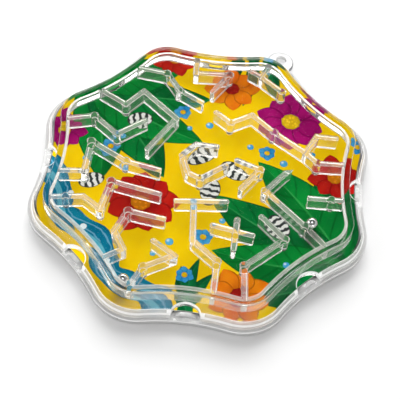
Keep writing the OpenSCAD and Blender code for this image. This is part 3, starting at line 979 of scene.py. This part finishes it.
# fill the ramps of the painted print reflection, angle by angle around the case
STOPS = 31
for halves in print_reflection_ramps:
    for h, r in enumerate(halves):
        while len(r.elements) < STOPS:
            r.elements.new(len(r.elements) / STOPS)
        for i in range(STOPS):
            r.elements[i].position = i / (STOPS - 1)
            r.elements[i].color = (*print_beside(-math.pi + math.pi * (h + i / (STOPS - 1))), 1.0)


# ---------------------------------------------------------------------------
# steel balls
# ---------------------------------------------------------------------------
def steel_mat():
    t = Tree("polished_steel")
    b = t.bsdf
    b.inputs["Metallic"].default_value = 1.0
    haze = t.noise(1500.0, 3.0, 0.6)
    marks = t.noise(2600.0, 4.0, 0.7, stretch=(1.0, 0.12, 1.0))
    t.link(t.mix(t.ramp(haze, 0.3, 0.7), (0.58, 0.59, 0.60), (0.68, 0.69, 0.70)), b.inputs["Base Color"])
    t.link(t.ramp(marks, 0.4, 0.8, 0.04, 0.12), b.inputs["Roughness"])
    t.bump(marks, 0.08, 0.000004)
    return t.finish()


mat_steel = steel_mat()


def steel_ball(name, node):
    lo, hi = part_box(node)
    c, r = (lo + hi) / 2, (hi.z - lo.z) / 2
    bm = bmesh.new()
    bmesh.ops.create_cube(bm, size=2.0)
    bmesh.ops.subdivide_edges(bm, edges=bm.edges, cuts=15, use_grid_fill=True)
    for v in bm.verts:
        # even spacing over the ball
        q = [math.tan(x * math.pi / 4) for x in v.co]
        v.co = c + Vector(q).normalized() * (r * 0.999)
    for f in bm.faces:
        f.smooth = True
    bmesh.ops.recalc_face_normals(bm, faces=bm.faces)
    me = bpy.data.meshes.new(name)
    bm.to_mesh(me)
    bm.free()
    ob = bpy.data.objects.new(name, me)
    scene.collection.objects.link(ob)
    ob.data.materials.append(mat_steel)
    return ob


ball_1 = steel_ball("steel_ball_1", "ball_1")
ball_2 = steel_ball("steel_ball_2", "ball_2")


# ---------------------------------------------------------------------------
# what rides where
# ---------------------------------------------------------------------------
walls = ["maze_wall_%02d" % i for i in range(1, 18)]
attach(cover, "case")
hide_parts("cover_window", "cover_ring_wall", "cover_flange", "cover_skirt", *walls)
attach(base, "case")
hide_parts("base_plate", "base_rim", "card_support", "snap_tabs", "hang_tab")
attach(card, "case")
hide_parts("printed_card")
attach(ball_1, "ball_one")
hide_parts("ball_1")
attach(ball_2, "ball_two")
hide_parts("ball_2")


# ---------------------------------------------------------------------------
# camera, floor and light
# ---------------------------------------------------------------------------
cam_data = bpy.data.cameras.new("camera")
cam = bpy.data.objects.new("camera", cam_data)
scene.collection.objects.link(cam)
elev, azim, roll = math.radians(56.06), math.radians(23.897), -0.0912
right = Vector((math.cos(azim), math.sin(azim), 0))
ahead = Vector((-math.sin(azim), math.cos(azim), 0))
back_dir = -ahead * math.cos(elev) + Vector((0, 0, 1)) * math.sin(elev)
up = ahead * math.sin(elev) + Vector((0, 0, 1)) * math.cos(elev)
cam_x = right * math.cos(roll) - up * math.sin(roll)
cam_y = right * math.sin(roll) + up * math.cos(roll)
m = Matrix((cam_x, cam_y, back_dir)).transposed().to_4x4()
m.translation = Vector((83.24, -188.08, 294.48)) * MM
cam.matrix_world = m
cam_data.sensor_width = 36.0
cam_data.lens = 92.47
cam_data.clip_start = 0.01
cam_data.clip_end = 50.0
scene.camera = cam

# floor: a wide pale sheet
bm = bmesh.new()
bmesh.ops.create_circle(bm, cap_ends=True, radius=4.0, segments=96)
for v in bm.verts:
    v.co.z = -0.0002
floor_me = bpy.data.meshes.new("floor")
bm.to_mesh(floor_me)
bm.free()
floor = bpy.data.objects.new("floor", floor_me)
scene.collection.objects.link(floor)
ft = Tree("floor_paper")
ft.link(ft.mix(ft.noise(3.0, 2.0), (0.60, 0.60, 0.60), (0.62, 0.62, 0.62)), ft.bsdf.inputs["Base Color"])
ft.bsdf.inputs["Roughness"].default_value = 0.9
ft.bsdf.inputs["Specular IOR Level"].default_value = 0.2
floor.data.materials.append(ft.finish())


def softbox(name, direction, distance, size, power, mirrored=False):
    data = bpy.data.lights.new(name, "AREA")
    data.shape = "RECTANGLE"
    data.size, data.size_y = size
    data.energy = power
    ob = bpy.data.objects.new(name, data)
    d = Vector(direction).normalized()
    ob.location = d * distance
    ob.rotation_euler = d.to_track_quat("Z", "Y").to_euler()
    # only the top lamp shows as a reflection, so that the flat window stays free of glare from every side
    ob.visible_glossy = mirrored
    scene.collection.objects.link(ob)
    return ob


def toward(az_deg, el_deg):
    """A direction from the object: azimuth from straight away from the viewer, to the right, and height."""
    a, e = math.radians(az_deg), math.radians(el_deg)
    flat = ahead * math.cos(a) + right * math.sin(a)
    return flat * math.cos(e) + Vector((0, 0, 1)) * math.sin(e)


softbox("key", toward(1, 31), 1.3, (1.1, 0.26), 36.0)
softbox("side", toward(-82, 30), 1.3, (0.6, 0.4), 5.5)
softbox("top", Vector((0.04, -0.06, 1.0)), 1.3, (0.6, 0.6), 3.0, True)
softbox("fill", toward(168, 24), 1.4, (0.9, 0.5), 4.2)

world = bpy.data.worlds.new("studio")
scene.world = world
world.use_nodes = True
wn = world.node_tree
wn.nodes.clear()
w_out = wn.nodes.new("ShaderNodeOutputWorld")
w_bg = wn.nodes.new("ShaderNodeBackground")
w_geo = wn.nodes.new("ShaderNodeTexCoord")
w_sep = wn.nodes.new("ShaderNodeSeparateXYZ")
wn.links.new(w_geo.outputs["Generated"], w_sep.inputs[0])


def w_step(value, lo, hi, a, b):
    n = wn.nodes.new("ShaderNodeMapRange")
    n.interpolation_type = "SMOOTHSTEP"
    n.inputs["From Min"].default_value = lo
    n.inputs["From Max"].default_value = hi
    n.inputs["To Min"].default_value = a
    n.inputs["To Max"].default_value = b
    wn.links.new(value, n.inputs["Value"])
    return n.outputs["Result"]


# pale walls, a dim ceiling, and a dark cloth behind the object higher up
w_dot = wn.nodes.new("ShaderNodeVectorMath")
w_dot.operation = "DOT_PRODUCT"
wn.links.new(w_geo.outputs["Generated"], w_dot.inputs[0])
w_dot.inputs[1].default_value = toward(0, 58)
w_mul = wn.nodes.new("ShaderNodeMath")
w_mul.operation = "MULTIPLY"
wn.links.new(w_step(w_sep.outputs["Z"], 0.45, 0.68, 1.0, 0.2), w_mul.inputs[0])
wn.links.new(w_step(w_dot.outputs["Value"], 0.88, 0.95, 1.0, 0.10), w_mul.inputs[1])
wn.links.new(w_mul.outputs[0], w_bg.inputs["Strength"])
w_bg.inputs["Color"].default_value = (1.0, 0.995, 0.99, 1.0)
wn.links.new(w_bg.outputs[0], w_out.inputs["Surface"])

scene.view_settings.view_transform = "Standard"
scene.cycles.max_bounces = 24
scene.cycles.transmission_bounces = 20
scene.cycles.glossy_bounces = 8
scene.cycles.transparent_max_bounces = 40
scene.cycles.caustics_refractive = False
scene.cycles.caustics_reflective = False
